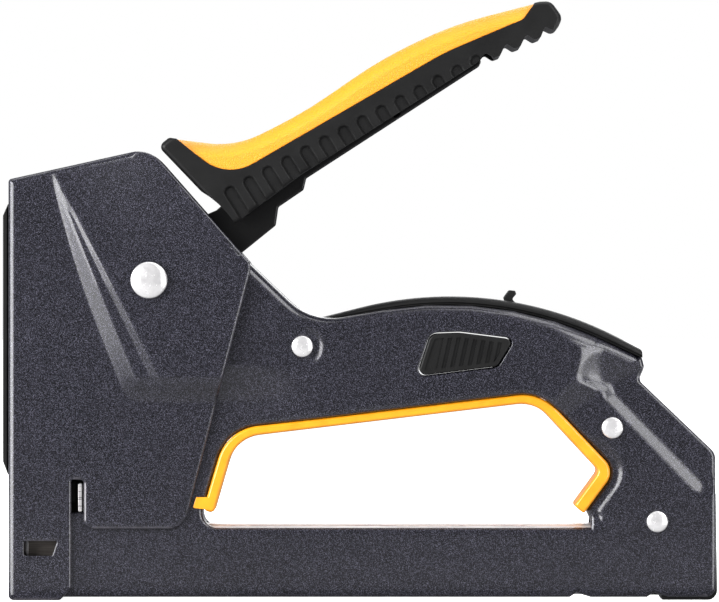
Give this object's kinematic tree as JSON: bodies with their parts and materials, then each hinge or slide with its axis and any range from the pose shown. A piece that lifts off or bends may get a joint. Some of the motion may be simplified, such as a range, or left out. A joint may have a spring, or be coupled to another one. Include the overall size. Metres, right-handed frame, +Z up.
{
  "type": "hand staple gun",
  "caption": "Hand staple gun: steel body with a finger hole, a sprung handle that lifts and frees the striker, and a magazine rail that slides out at the rear.",
  "frame": {"origin": "on the ground line that the nose and the magazine pull stand on, midway along the length and in the middle plane", "axes": "+X from the nose to the rear, +Y to the left side seen from behind, +Z up"},
  "size_m": [0.186, 0.0354, 0.1556],
  "materials": {
    "body_paint": "satin",
    "bumper_rubber": "matte",
    "black_plastic": "matte",
    "trim_plastic": "satin",
    "grip_plastic": "satin",
    "lever_paint": "satin",
    "rivet_chrome": "polished",
    "bright_steel": "satin",
    "dark_steel": "satin",
    "spring_steel": "satin"
  },
  "bodies": {
    "frame": {"front_cover": "body_paint", "front_bumper": "bumper_rubber", "body_shell_left": "body_paint", "body_shell_right": "body_paint", "top_strip": "black_plastic", "grip_pad_left": "black_plastic", "grip_pad_right": "black_plastic", "finger_guard": "trim_plastic", "pivot_rivet": "rivet_chrome", "frame_rivet_front": "rivet_chrome", "spacer_front": "dark_steel", "frame_rivet_rear_upper": "rivet_chrome", "spacer_rear_upper": "dark_steel", "frame_rivet_rear_lower": "rivet_chrome", "spacer_rear_lower": "dark_steel", "nose_plate": "dark_steel", "driver_guide_left": "dark_steel", "driver_guide_right": "dark_steel", "power_spring": "spring_steel", "spring_cap": "black_plastic", "shock_absorber": "bumper_rubber", "guide_bracket": "bright_steel", "lever_return_spring": "spring_steel", "lock_pin": "bright_steel", "magazine_channel": "bright_steel"},
    "handle": {"lever_arm": "lever_paint", "lifter_pin": "bright_steel", "lever_catch_bar": "bright_steel", "lever_grip": "black_plastic", "lever_grip_insert": "grip_plastic"},
    "hammer": {"striker": "dark_steel", "driver_blade": "bright_steel", "blade_pin": "dark_steel"},
    "lock": {"lock_hook": "black_plastic"},
    "rail": {"magazine_rail": "bright_steel", "magazine_pull": "black_plastic", "rail_pin": "bright_steel", "guide_rod": "bright_steel", "follower_spring": "spring_steel"},
    "pusher": {"follower": "dark_steel"}
  },
  "joints": [
    {"name": "handle_pivot", "type": "hinge", "parent": "frame", "child": "handle", "pos_m": [-0.0547, 0, 0.0832], "axis": [0, 1, 0], "range_deg": [0, 31], "stiffness_Nm_per_rad": 2, "springref_deg": -20.05, "deforming": ["lever_return_spring"]},
    {"name": "hammer_slide", "type": "slide", "parent": "frame", "child": "hammer", "axis": [0, 0, 1], "range_m": [0, 0.0157], "deforming": ["power_spring"]},
    {"name": "handle_lock", "type": "hinge", "parent": "frame", "child": "lock", "pos_m": [0.0226, 0, 0.0726], "axis": [0, 1, 0], "range_deg": [-71, 0]},
    {"name": "magazine_slide", "type": "slide", "parent": "frame", "child": "rail", "axis": [1, 0, 0], "range_m": [0, 0.1]},
    {"name": "pusher_slide", "type": "slide", "parent": "rail", "child": "pusher", "axis": [1, 0, 0], "range_m": [0, 0.095], "stiffness_N_per_m": 50, "springref_m": -0.08, "deforming": ["follower_spring"]}
  ],
  "couplings": [
    {"joint": "hammer_slide", "follows": "handle_pivot", "m_per_rad": 0.028944}
  ]
}
